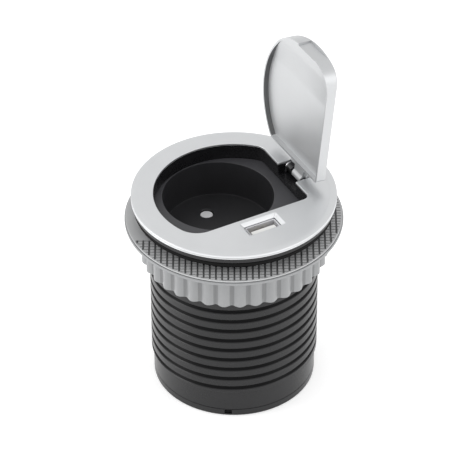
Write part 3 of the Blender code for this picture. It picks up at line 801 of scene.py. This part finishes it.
def add_posts(sleeve):
    """The three posts that take the cap's screws from below and the board's screws from above."""
    low = CAP_HEIGHT + GAP
    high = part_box("charger_board")[0].z / MM - GAP
    web_x = (POST_AT_R + 1, BARREL_R - 0.2)
    posts = []
    holes = []
    for angle in POST_ANGLES:
        at = polar(POST_AT_R, angle)
        posts.append(disc("join_post", POST_R, low, high, at, 32))
        web = block("join_web", web_x, (-POST_WEB, POST_WEB), (low + 0.5, high - 0.5))
        web.rotation_euler.z = math.radians(angle)
        posts.append(web)
        holes.append(disc("cut_post_low", TAPPED_R, low - PAST, low + POST_BORES[0], at, 16))
        holes.append(disc("cut_post_high", TAPPED_R, high - POST_BORES[1], high + PAST, at, 16))
    join(sleeve, *posts)
    return cut(sleeve, *holes)


def make_seal_ring():
    inner_r = seal_high.x - SEAL_WIDTH
    profile = rounded_profile(
        [
            (inner_r, seal_low.z, 0.2),
            (seal_high.x, seal_low.z, 0.35),
            (seal_high.x, seal_high.z, 0.35),
            (inner_r, seal_high.z, 0.2),
        ]
    )
    return turned("fine_seal_ring", profile, segments=192)


def make_bottom_cap():
    """The cap that closes the sleeve, with a slot to prise it off and recesses for its screws."""
    thick = CAP_HEIGHT
    corners = [(INLET_R, 0, 0.3), (BARREL_R, 0, 0.7)]
    corners += [(BARREL_R, thick, 0.15), (INLET_R, thick, 0.2)]
    cap = turned("fine_bottom_cap", rounded_profile(corners, 4), segments=192)
    slot_x = (BARREL_R - PRY_SLOT_DEPTH, BARREL_R + 2)
    slot_y = (-PRY_SLOT_HALF_WIDTH, PRY_SLOT_HALF_WIDTH)
    slot = block("cut_pry_slot", slot_x, slot_y, (PRY_SLOT_FLOOR, thick + PAST), 0.2)
    slot.rotation_euler.z = math.radians(PRY_SLOT_DEG)
    seat = [(0, -PAST), (CAP_SEAT_R + 0.2, -PAST), (CAP_SEAT_R + 0.2, 0), (CAP_SEAT_R, 0.25)]
    seat += [(CAP_SEAT_R, CAP_SEAT_DEPTH), (CAP_SCREW_HOLE_R, CAP_SEAT_DEPTH)]
    seat += [(CAP_SCREW_HOLE_R, thick + PAST), (0, thick + PAST)]
    cutters = [slot]
    for angle in POST_ANGLES:
        cutters.append(turned("cut_cap_screw", seat, polar(POST_AT_R, angle), 32))
    cut(cap, *cutters)
    top = thick + CLAMP_POST_HEIGHT
    posts = []
    holes = []
    for x in CLAMP_POST_X:
        at = (x, CLAMP_POST_Y)
        posts.append(disc("join_clamp_post", CLAMP_POST_R, thick - PAST, top, at, 24))
        holes.append(disc("cut_clamp_post", TAPPED_R, thick, top + PAST, at, 16))
    join(cap, *posts)
    return cut(cap, *holes)


def make_grip_washer():
    """A thin washer ruled with grooves and fine cross lines over all but one plain sector."""
    profile = rounded_profile(
        [
            (NUT_BORE_R, washer_low.z, 0.1),
            (washer_high.x, washer_low.z, 0.1),
            (washer_high.x, washer_high.z, 0.2),
            (NUT_BORE_R, washer_high.z, 0.1),
        ],
        3,
    )
    washer = turned("fine_grip_washer", profile, segments=256)
    rim = washer_high.x - WASHER_RIM
    cut(washer, make_bars("cut_grooves", rim, **GRID_GROOVES))
    cut(washer, make_bars("cut_cross_lines", rim, **GRID_CROSS_LINES))
    floor = washer_low.z + 0.05
    face = washer_high.z - 0.05

    def in_grid(at, normal):
        return floor < at.z < face and NUT_BORE_R + 0.3 < at.xy.length < rim

    # painted shade: the faces down in the grid's grooves take the darker look
    paint(washer, in_grid)
    return washer


def bar_ends(offset, half, along):
    """Where a bar starts and ends: about a third of the washer is left plain."""
    if along:
        return (GRID_START if offset < 0 else -half, half)
    return (-half if offset >= GRID_START else 0.0, half)


def make_bars(name, reach, pitch, width, depth, along):
    """Parallel cutters with tapered sides at the washer's top, kept inside the radius reach."""
    bm = bmesh.new()
    count = int(reach / pitch)
    turn = Matrix.Rotation(GRID_ANGLE, 3, "Z")
    low = washer_high.z - depth
    high = washer_high.z + 0.2
    wide = width / 2 + 0.1
    narrow = 0.3 * width
    section = [(-wide, high), (wide, high), (narrow, low), (-narrow, low)]
    for i in range(-count, count + 1):
        offset = i * pitch
        ends = bar_ends(offset, math.sqrt(reach**2 - offset**2), along)
        if ends[1] - ends[0] < 1:
            continue
        loops = []
        for end in ends:
            corners = []
            for side, z in section:
                across = offset + side
                point = Vector((end, across, z)) if along else Vector((across, end, z))
                corners.append(bm.verts.new(turn @ point))
            loops.append(corners)
        bridge(bm, *loops)
        bm.faces.new(loops[0])
        bm.faces.new(loops[1])
    return finish_mesh(name, bm)


def make_lock_nut(steps_per_lobe=14):
    """The clamping nut: a thin flange over a skirt of rounded finger lobes."""
    flange_top = nut_high.z
    flange_under = flange_top - NUT_FLANGE_THICK
    bottom = nut_low.z
    bm = bmesh.new()
    columns = []
    count = LOBES * steps_per_lobe
    for i in range(count):
        degrees = 360 * i / count
        swell = abs(math.sin(math.radians(degrees) * LOBES / 2)) ** LOBE_POWER
        skirt = LOBE_VALLEY_R + LOBE_HEIGHT * swell
        section = rounded_profile(
            [
                (NUT_BORE_R, bottom, 0.2),
                (skirt, bottom, 0.45),
                (skirt, flange_under, 0.35),
                (nut_high.x, flange_under, 0.25),
                (nut_high.x, flange_top, 0.25),
                (NUT_BORE_R, flange_top, 0.2),
            ],
            3,
        )
        columns.append([bm.verts.new((*polar(r, degrees), z)) for r, z in section])
    for near, far in zip(columns, columns[1:] + columns[:1]):
        bridge(bm, near, far)
    nut = finish_mesh("fine_lock_nut", bm)
    valley = LOBE_VALLEY_R + LOBE_SHADE * LOBE_HEIGHT

    def in_valley(at, normal):
        return at.z < flange_under and NUT_BORE_R + 1 < at.xy.length < valley

    # painted shade: the faces low in the valleys between lobes take the darker look
    paint(nut, in_valley)
    return nut


# The lid and its hinge


def make_lid_recess(low):
    """The hollow in the underside, whose floor ramps out to the underside near the free end."""
    wall = LID_INSET + LIP_WIDTH
    floor = TOP - LID_THICK + RECESS_DEPTH
    layers = [(outline(wall), low), (outline(wall), floor - 0.2)]
    layers += [(outline(wall + 0.06), floor - 0.06), (outline(wall + 0.2), floor)]
    recess = lofted("cut_recess", layers)
    start, end = RAMP_Y
    section = [(BEYOND, low - PAST), (BEYOND, floor + PAST), (start, floor + PAST)]
    for i in range(RAMP_STEPS + 1):
        t = i / RAMP_STEPS
        section.append((start + (end - start) * t, floor + (RAMP_FOOT - floor) * t**RAMP_POWER))
    section.append((end, low - PAST))
    return combine(recess, [section_bar("limit_recess", (-BEYOND, BEYOND), section)], "INTERSECT")


def make_lid():
    """The lid, made closed and then turned open about its hinge. It thickens to its free end."""
    low = TOP - LID_END_THICK - 2
    lid = lofted("fine_lid", round_topped(outline, LID_INSET, low, TOP, LID_EDGE_R))
    bend_z = TOP - LID_THICK
    slope = (LID_END_THICK - LID_THICK) / (OPENING_R - LID_INSET + LID_BEND_Y)
    end_z = bend_z - slope * (OPENING_R + LID_BEND_Y)
    under = [(BEYOND, low - PAST), (BEYOND, bend_z), (LID_BEND_Y, bend_z)]
    under += [(-OPENING_R, end_z), (-OPENING_R, low - PAST)]
    thumb = [(THUMB_Y[0], low), (THUMB_Y[1], THUMB_TOP), (-BEYOND, THUMB_TOP), (-BEYOND, low)]
    cutters = [section_bar("cut_underside", (-BEYOND, BEYOND), under), make_lid_recess(low - PAST)]
    cut(lid, *cutters, section_bar("cut_thumb", THUMB_X, thumb))
    join(lid, make_lid_arm())
    bore = [(ARM_X[0] - PAST, PIN_HOLE_R), (ARM_X[1] + PAST, PIN_HOLE_R)]
    cut(lid, bar_x("cut_bore", bore, HINGE.y, HINGE.z))

    def on_far_wall(at, normal):
        return normal.x > 0.25 and at.x < THUMB_X[0] - 1 and at.z < TOP - 2

    # painted shade: the recess wall on the far side takes a much darker look
    paint(lid, on_far_wall)
    centre = Matrix.Translation(HINGE * MM)
    lid.data.transform(centre @ Matrix.Rotation(-OPEN_ANGLE, 4, "X") @ centre.inverted())
    return lid


def make_lid_arm():
    """The arm and knuckle that turn on the pin, and the tab that covers the notch beside them."""
    root_y = OPENING_Y - LID_INSET - LIP_WIDTH / 2
    tab_z = (TAB_UNDER, TAB_TOP)
    side_x = (ARM_X[1] - 0.5, TAB_X[1])
    arm = block("join_arm", ARM_X, (root_y, HINGE.y), (ARM_UNDER, TAB_TOP), 0.2)
    tab = block("join_tab", TAB_X, (root_y, TAB_END_Y), tab_z, 0.25)
    tab_side = block("join_tab_side", side_x, (root_y, TAB_SIDE_END_Y), tab_z, 0.25)
    knuckle = round_end_bar("join_knuckle", ARM_X, HINGE.y, HINGE.z, KNUCKLE_R, 0.3)
    return join(arm, knuckle, tab, tab_side)


def make_hinge_pin():
    radius = (pin_high.z - pin_low.z) / 2
    return round_end_bar("fine_hinge_pin", (pin_low.x, pin_high.x), HINGE.y, HINGE.z, radius, 0.25)


def spring_path(steps=28):
    """The spring's centre line: a helix along X with a short upright leg at each end."""
    start_x, end_x = SPRING_X
    leg_y = HINGE.y - SPRING_COIL_R
    total = SPRING_TURNS * steps
    path = [Vector((start_x, leg_y, SPRING_LEG_Z[0]))]
    for i in range(total + 1):
        angle = math.pi + 2 * math.pi * i / steps
        x = start_x + (end_x - start_x) * i / total
        y = HINGE.y + SPRING_COIL_R * math.cos(angle)
        path.append(Vector((x, y, HINGE.z - SPRING_COIL_R * math.sin(angle))))
    path.append(Vector((end_x, leg_y, SPRING_LEG_Z[1])))
    return path


def make_hinge_spring(sides=10):
    """The torsion spring, a wire swept along its path. Its look is darker past the first coil: painted shade,
    which leaves the first coil bright.
    """
    path = spring_path()
    loops = []
    for i, point in enumerate(path):
        along = (path[min(i + 1, len(path) - 1)] - path[max(i - 1, 0)]).normalized()
        side = along.cross(Vector((1, 0, 0))).normalized()
        up = along.cross(side)
        loops.append([point + side * c + up * s for c, s in circle(0, 0, SPRING_WIRE_R, sides)])
    spring = skinned("fine_hinge_spring", loops)
    # painted shade: the coils past the first take the darker look
    paint(spring, lambda at, normal: at.x > SPRING_X[0] + 0.7)
    return spring


# The well


def make_well_cup():
    """Ledge and round well, with a soft edge at the mouth and a rounded foot to the wall."""
    reach = cup_high.x
    cup = disc("fine_well_cup", reach, LEDGE_UNDER, LEDGE_TOP, segments=160)
    pot = disc("join_pot", WELL_R + WELL_WALL, cup_low.z, LEDGE_UNDER + 0.5, WELL, 128)
    limit = disc("limit_pot", reach, cup_low.z - PAST, LEDGE_TOP, segments=160)
    join(cup, combine(pot, [limit], "INTERSECT"))
    above = LEDGE_TOP + PAST
    bore = [
        (0, WELL_FLOOR),
        (WELL_FLOOR_R - 0.8, WELL_FLOOR),
        (WELL_FLOOR_R - 0.2, WELL_FLOOR + 0.25),
        (WELL_FLOOR_R, WELL_FLOOR + 0.9),
        (WELL_R, LEDGE_TOP - 0.5),
        (WELL_R + 0.15, LEDGE_TOP - 0.15),
        (WELL_R + 0.5, LEDGE_TOP),
        (WELL_R + 0.5, above),
        (0, above),
    ]
    cutters = [turned("cut_well", bore, WELL, 160)]
    cutters.append(shell_hole("cut_cup_port", LEDGE_UNDER - PAST, above))
    below = cup_low.z - PAST
    seat_floor = WELL_FLOOR - WELL_SEAT_DEPTH
    seat = [(0, below), (WELL_SCREW_HOLE_R, below), (WELL_SCREW_HOLE_R, seat_floor)]
    seat += [(WELL_SEAT_R, seat_floor), (WELL_SEAT_R, WELL_FLOOR - 0.2)]
    seat += [(WELL_SEAT_R + 0.2, WELL_FLOOR), (WELL_SEAT_R + 0.2, WELL_FLOOR + PAST)]
    seat += [(0, WELL_FLOOR + PAST)]
    for side in (-1, 1):
        at = (WELL.x + side * WELL_SCREW_OFFSET, WELL.y)
        cutters.append(turned("cut_screw_seat", seat, at, 40))
    cut(cup, *cutters)
    # painted light: the ledge's upward faces take a much lighter look than the well
    paint(cup, lambda at, normal: normal.z > 0.9 and at.z > LEDGE_TOP - 0.1)
    return cup


def make_screw_cap(number):
    low, high = box_mm(f"screw_cap_{number}")
    middle = (low + high) / 2
    radius = (high.x - low.x) / 2
    profile = [(0, low.z), (radius, low.z), (radius, high.z - 0.2)]
    profile += [(radius - 0.25, high.z), (0, high.z)]
    return turned(f"fine_screw_cap_{number}", profile, (middle.x, middle.y), 48)


# The USB port


def make_usb_shell():
    """The folded steel shell, open at the top."""
    wide, deep, _ = shell_high - shell_low

    def grown(by):
        return port_outline(wide + 2 * by, deep + 2 * by, SHELL_CORNER_R + by)

    wall = SHELL_WALL
    shell = lofted("fine_usb_shell", [(grown(0), shell_low.z), (grown(0), shell_high.z)])
    inner = [
        (grown(-wall), shell_low.z + SHELL_FLOOR),
        (grown(-wall), shell_high.z - 0.2),
        (grown(-wall + 0.15), shell_high.z - 0.05),
        (grown(-wall + 0.2), shell_high.z + PAST),
    ]
    return cut(shell, lofted("cut_shell", inner))


def make_usb_tongue():
    """The white tongue with a groove for each contact."""
    x = (tongue_low.x, tongue_high.x)
    y = (tongue_low.y, tongue_high.y)
    tongue = block("fine_usb_tongue", x, y, (tongue_low.z, tongue_high.z), 0.3)
    groove_x = (x[0] - PAST, x[0] + 0.7)
    grooves = []
    for number in range(1, CONTACTS + 1):
        low, high = box_mm(f"usb_contact_{number}")
        groove_y = (low.y - GAP, high.y + GAP)
        grooves.append(block("cut_contact", groove_x, groove_y, (low.z - GAP, high.z + GAP)))
    return cut(tongue, *grooves)


def make_contact(number):
    low, high = box_mm(f"usb_contact_{number}")
    name = f"fine_usb_contact_{number}"
    return block(name, (low.x, high.x), (low.y, high.y), (low.z, high.z), 0.1)


# Fasteners and the cord inlet


def make_cross_screw(node):
    """A pan-head screw with a cross recess, pointing up out of its recess in the cap."""
    low, high = box_mm(node)
    middle = (low + high) / 2
    head_r = (high.x - low.x) / 2
    shank_r = 1.0
    face = low.z
    neck = face + 1.1
    profile = [
        (0, face),
        (head_r * 0.55, face),
        (head_r * 0.85, face + 0.18),
        (head_r * 0.98, face + 0.5),
        (head_r, neck),
        (shank_r, neck),
        (shank_r, high.z - 1),
        (shank_r * 0.4, high.z),
        (0, high.z),
    ]
    screw = turned(f"fine_{node}", profile, (middle.x, middle.y), 48)
    long = head_r * 0.5
    thin = 0.32
    for half_x, half_y in ((long, thin), (thin, long)):
        slot_x = (middle.x - half_x, middle.x + half_x)
        slot_y = (middle.y - half_y, middle.y + half_y)
        cut(screw, block("cut_cross", slot_x, slot_y, (face - PAST, face + 0.7)))
    return screw


def make_inlet_bush():
    """The rubber bush that lines the cord inlet, with a rounded lip."""
    low, high = box_mm("inlet_bush")
    groove_top = CAP_HEIGHT + GAP
    profile = rounded_profile(
        [
            (BUSH_BORE_R, low.z, 0.4),
            (BUSH_NECK_R - 0.2, low.z, 0.3),
            (BUSH_NECK_R, groove_top, 0.1),
            (high.x, groove_top, 0.15),
            (high.x - 0.4, high.z, 0.5),
            (BUSH_BORE_R, high.z, 0.4),
        ]
    )
    return turned("fine_inlet_bush", profile, segments=96)


def make_pieces(materials):
    show(make_cover_ring(), "cover_ring", materials)
    show(make_body_sleeve(), "body_sleeve", materials, second_look="thread_groove_painted_shade")
    show(make_seal_ring(), "seal_ring", materials)
    show(make_bottom_cap(), "bottom_cap", materials)
    show(make_grip_washer(), "grip_washer", materials, second_look="washer_groove_painted_shade")
    show(make_lock_nut(), "lock_nut", materials, second_look="lobe_valley_painted_shade")
    show(make_lid(), "lid", materials, "lid_silver", "lid_wall_painted_shade")
    show(make_hinge_pin(), "hinge_pin", materials)
    show(make_hinge_spring(), "hinge_spring", materials, second_look="spring_painted_shade")
    show(make_well_cup(), "well_cup", materials, "well_black", "ledge_painted_light")
    for number in (1, 2):
        show(make_screw_cap(number), f"screw_cap_{number}", materials)
    show(make_usb_shell(), "usb_shell", materials, "satin_steel")
    show(make_usb_tongue(), "usb_tongue", materials)
    for number in range(1, CONTACTS + 1):
        show(make_contact(number), f"usb_contact_{number}", materials)
    for number in (1, 2, 3):
        show(make_cross_screw(f"cap_screw_{number}"), f"cap_screw_{number}", materials)
    show(make_inlet_bush(), "inlet_bush", materials)


def dress_cad_nodes(materials):
    """Gives every CAD mesh its slot's look. Those with no fine mesh, the inner ones, show it."""
    for node, obj in frame["nodes"].items():
        obj.data.materials.clear()
        obj.data.materials.append(materials[LOOK_OF_SLOT[SLOTS[node]]])


# Stage, in metres

AZIMUTH = math.radians(61.5)
ELEVATION = math.radians(37.8)
ROLL = math.radians(-0.243)
DISTANCE = 1.3
TARGET = Vector((-0.00193, -0.00356, 0.08192))
LENS_MM = 229.4
SENSOR_MM = 36
FLOOR_SIZE = 6
FLOOR_DROP = 0.2 * MM  # keeps the floor clear of the cap's underside
FLOOR_GLOW = 0.4
FLOOR_FINISH = {
    "colour": (0.9, 0.9, 0.9),
    "roughness": 0.8,
    "metallic": 0.0,
    "grain": 4.0,
    "bump": 0.02,
    "tone": 0.01,
    "spread": 0.05,
}
SKY_STRENGTH = 0.9
SOFTBOXES = {
    # name: (place, size, power in watts)
    "softbox_left": ((-0.3, -0.9, 0.5), (0.5, 0.7), 3.0),
    "softbox_right": ((0.9, 0.6, 0.5), (0.4, 0.7), 2.0),
}


def make_camera():
    level = math.cos(ELEVATION)
    back = Vector((math.sin(AZIMUTH) * level, -math.cos(AZIMUTH) * level, math.sin(ELEVATION)))
    lens = bpy.data.cameras.new("camera")
    lens.lens = LENS_MM
    lens.sensor_width = SENSOR_MM
    camera = bpy.data.objects.new("camera", lens)
    bpy.context.scene.collection.objects.link(camera)
    place = Matrix.Translation(TARGET + back * DISTANCE)
    facing = (-back).to_track_quat("-Z", "Y").to_matrix().to_4x4()
    camera.matrix_world = place @ facing @ Matrix.Rotation(ROLL, 4, "Z")
    bpy.context.scene.camera = camera


def make_floor():
    bpy.ops.mesh.primitive_plane_add(size=FLOOR_SIZE)
    floor = bpy.context.object
    floor.name = "floor"
    floor.location.z = -FLOOR_DROP
    material = grained("pale_floor", **FLOOR_FINISH)
    shader = shader_of(material)
    shader.inputs["Emission Color"].default_value = (1, 1, 1, 1)
    shader.inputs["Emission Strength"].default_value = FLOOR_GLOW
    floor.data.materials.append(material)


def make_softbox(name, place, size, power):
    light = bpy.data.lights.new(name, "AREA")
    light.shape = "RECTANGLE"
    light.size, light.size_y = size
    light.energy = power
    obj = bpy.data.objects.new(name, light)
    bpy.context.scene.collection.objects.link(obj)
    obj.location = place
    obj.rotation_euler = (TARGET - Vector(place)).to_track_quat("-Z", "Y").to_euler()


def make_light():
    world = bpy.data.worlds.new("studio")
    bpy.context.scene.world = world
    world.use_nodes = True
    background = world.node_tree.nodes["Background"]
    background.inputs["Color"].default_value = (1, 1, 1, 1)
    background.inputs["Strength"].default_value = SKY_STRENGTH
    for name, (place, size, power) in SOFTBOXES.items():
        make_softbox(name, place, size, power)
    bpy.context.scene.view_settings.view_transform = "Standard"


materials = make_materials()
make_pieces(materials)
dress_cad_nodes(materials)
make_floor()
make_light()
make_camera()
